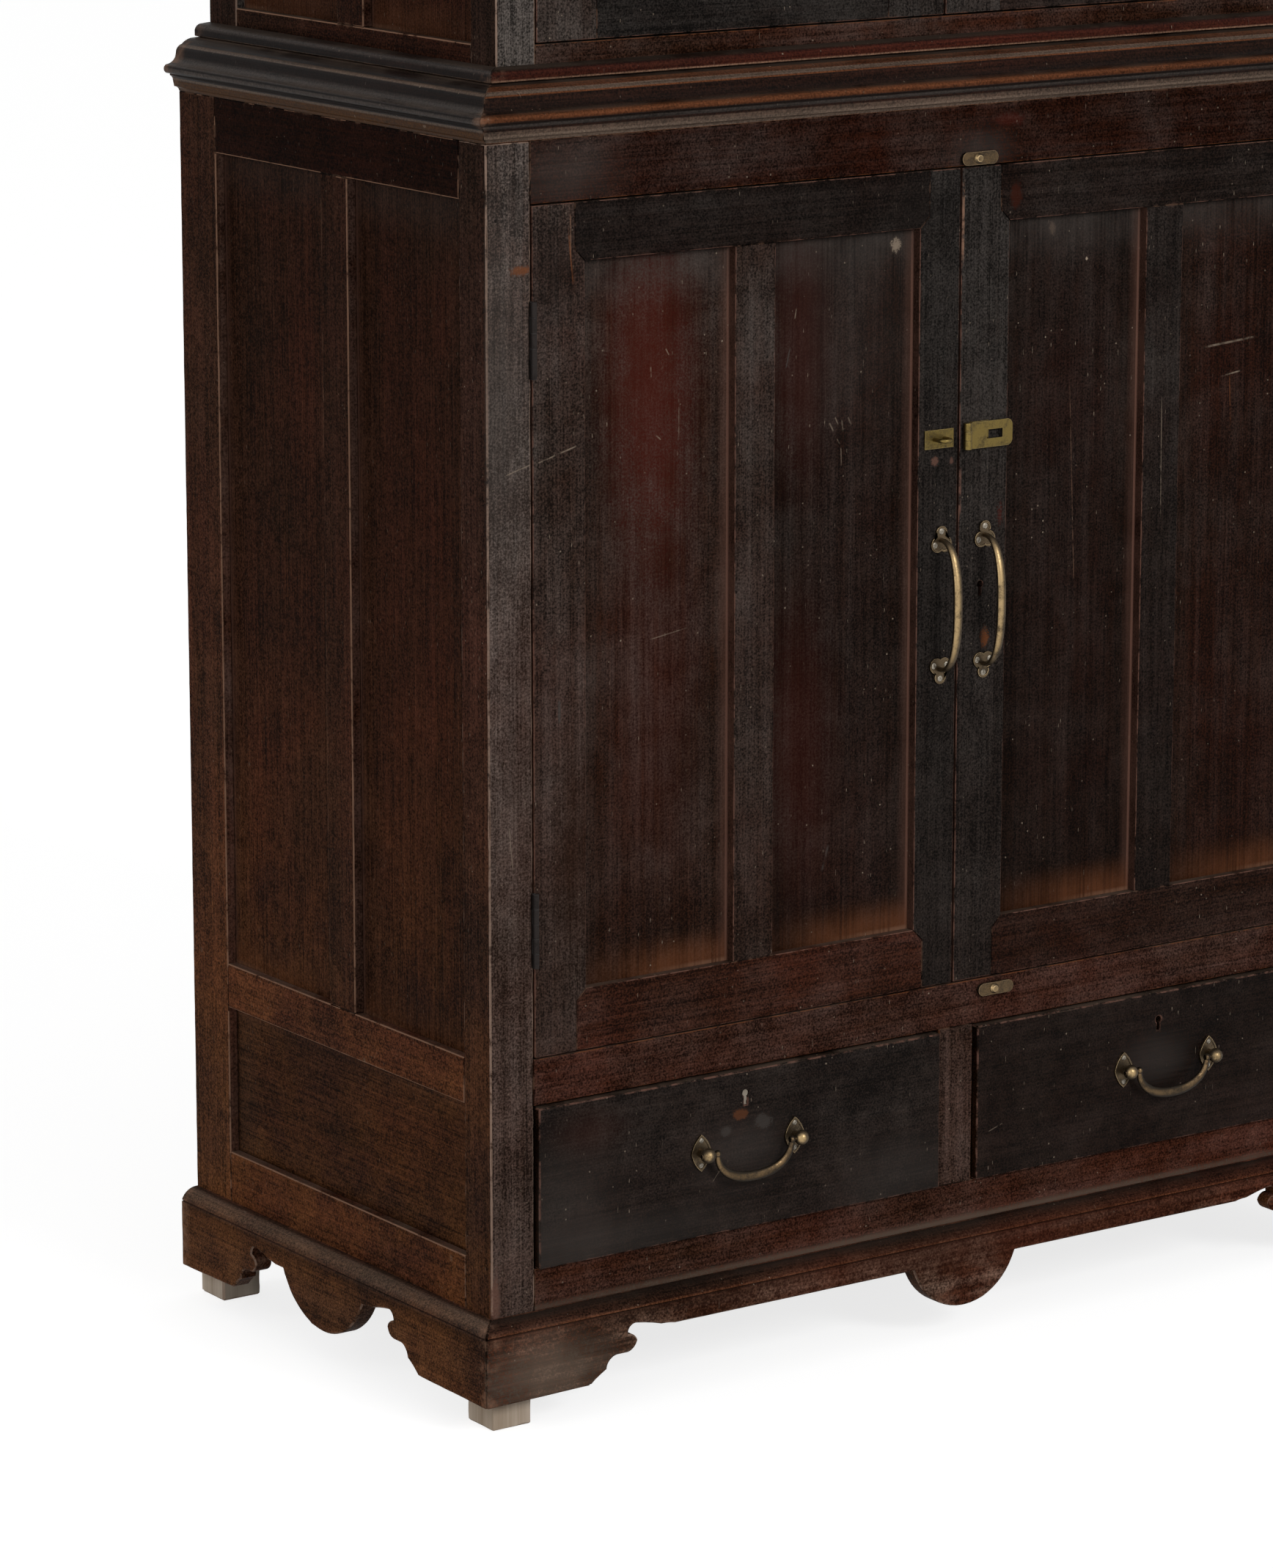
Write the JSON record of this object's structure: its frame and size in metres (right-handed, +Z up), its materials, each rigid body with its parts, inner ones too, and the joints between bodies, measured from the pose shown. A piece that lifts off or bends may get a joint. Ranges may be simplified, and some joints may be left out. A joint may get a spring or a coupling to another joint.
{
  "type": "two-stage panelled cupboard",
  "caption": "Tall dark-wood cupboard in two stages with panelled doors, drawers with bail handles, moulded waist and cornice, and a fretted bracket base.",
  "frame": {"origin": "on the floor under the middle of the whole part's box", "axes": "+X to the right seen from the front, +Y from the front to the back, +Z up"},
  "size_m": [0.986, 0.496, 2.11],
  "materials": {
    "dark_wood": "old dark polish, worn at the edges",
    "panel_wood": "old red-brown polish, dusty at the edges",
    "drawer_wood": "old blackened polish",
    "inner_wood": "bare, darkened by age",
    "new_wood": "bare grey-brown",
    "brass": "old worn brass",
    "bronze": "old dull bronze",
    "iron": "old dark iron"
  },
  "bodies": {
    "lower_left_door": {"lower_left_door_frame": "dark_wood", "lower_left_door_panels": "panel_wood", "lower_left_hinge_leaves": "iron", "lower_left_pull": "brass", "hasp_staple": "brass"},
    "lower_right_door": {"lower_right_door_frame": "dark_wood", "lower_right_door_panels": "panel_wood", "lower_right_hinge_leaves": "iron", "lower_right_pull": "brass", "hasp_fixed_leaf": "brass"},
    "upper_left_door": {"upper_left_door_frame": "dark_wood", "upper_left_door_panels": "panel_wood", "upper_left_hinge_leaves": "iron", "upper_left_pull": "brass"},
    "upper_right_door": {"upper_right_door_frame": "dark_wood", "upper_right_door_panels": "panel_wood", "upper_right_hinge_leaves": "iron", "upper_right_pull": "brass"},
    "left_drawer": {"left_drawer_front": "drawer_wood", "left_drawer_box": "inner_wood", "left_bail_rosettes": "brass"},
    "right_drawer": {"right_drawer_front": "drawer_wood", "right_drawer_box": "inner_wood", "right_bail_rosettes": "brass"},
    "left_bail": {"left_bail": "brass"},
    "right_bail": {"right_bail": "brass"},
    "hasp": {"hasp_slotted_leaf": "brass"},
    "top_turn_button": {"top_turn_button": "bronze"},
    "bottom_turn_button": {"bottom_turn_button": "bronze"},
    "carcass": {"base_front_apron": "dark_wood", "base_left_apron": "dark_wood", "base_right_apron": "dark_wood", "foot_blocks": "new_wood", "lower_side_frames": "dark_wood", "lower_side_panels": "panel_wood", "lower_front_posts": "dark_wood", "lower_back_posts": "dark_wood", "lower_rails": "dark_wood", "drawer_divider": "dark_wood", "lower_back_rails": "inner_wood", "lower_back_boards": "inner_wood", "drawer_runners": "inner_wood", "cupboard_floor": "inner_wood", "lower_shelf": "inner_wood", "upper_floor": "inner_wood", "upper_shelves": "inner_wood", "shelf_cleats": "inner_wood", "waist_moulding": "dark_wood", "lower_top_board": "inner_wood", "hinge_post_leaves": "iron", "turn_button_screws": "bronze", "upper_side_frames": "dark_wood", "upper_side_panels": "panel_wood", "upper_posts": "dark_wood", "upper_rails": "dark_wood", "upper_back_boards": "inner_wood", "upper_base_bead": "dark_wood", "cornice": "dark_wood", "upper_top_board": "inner_wood"}
  },
  "joints": [
    {"name": "lower_left_door_hinge", "type": "hinge", "parent": "carcass", "child": "lower_left_door", "pos_m": [-0.43325, -0.223, 0.6595], "axis": [0, 0, -1], "range_deg": [0, 165]},
    {"name": "lower_right_door_hinge", "type": "hinge", "parent": "carcass", "child": "lower_right_door", "pos_m": [0.43325, -0.223, 0.6595], "axis": [0, 0, 1], "range_deg": [0, 165]},
    {"name": "upper_left_door_hinge", "type": "hinge", "parent": "carcass", "child": "upper_left_door", "pos_m": [-0.40725, -0.192, 1.565], "axis": [0, 0, -1], "range_deg": [0, 165]},
    {"name": "upper_right_door_hinge", "type": "hinge", "parent": "carcass", "child": "upper_right_door", "pos_m": [0.40725, -0.192, 1.565], "axis": [0, 0, 1], "range_deg": [0, 165]},
    {"name": "left_drawer_slide", "type": "slide", "parent": "carcass", "child": "left_drawer", "axis": [0, -1, 0], "range_m": [0, 0.3]},
    {"name": "right_drawer_slide", "type": "slide", "parent": "carcass", "child": "right_drawer", "axis": [0, -1, 0], "range_m": [0, 0.3]},
    {"name": "left_bail_hinge", "type": "hinge", "parent": "left_drawer", "child": "left_bail", "pos_m": [-0.223, -0.236, 0.2055], "axis": [-1, 0, 0], "range_deg": [0, 100]},
    {"name": "right_bail_hinge", "type": "hinge", "parent": "right_drawer", "child": "right_bail", "pos_m": [0.229, -0.236, 0.2055], "axis": [-1, 0, 0], "range_deg": [0, 100]},
    {"name": "hasp_hinge", "type": "hinge", "parent": "lower_right_door", "child": "hasp", "pos_m": [0.002, -0.224, 0.7812], "axis": [0, 0, -1], "range_deg": [0, 180]},
    {"name": "top_button_pivot", "type": "hinge", "parent": "carcass", "child": "top_turn_button", "pos_m": [0.01, -0.2225, 1.013], "axis": [0, -1, 0], "continuous": true},
    {"name": "bottom_button_pivot", "type": "hinge", "parent": "carcass", "child": "bottom_turn_button", "pos_m": [0.038, -0.2225, 0.3], "axis": [0, -1, 0], "continuous": true}
  ]
}
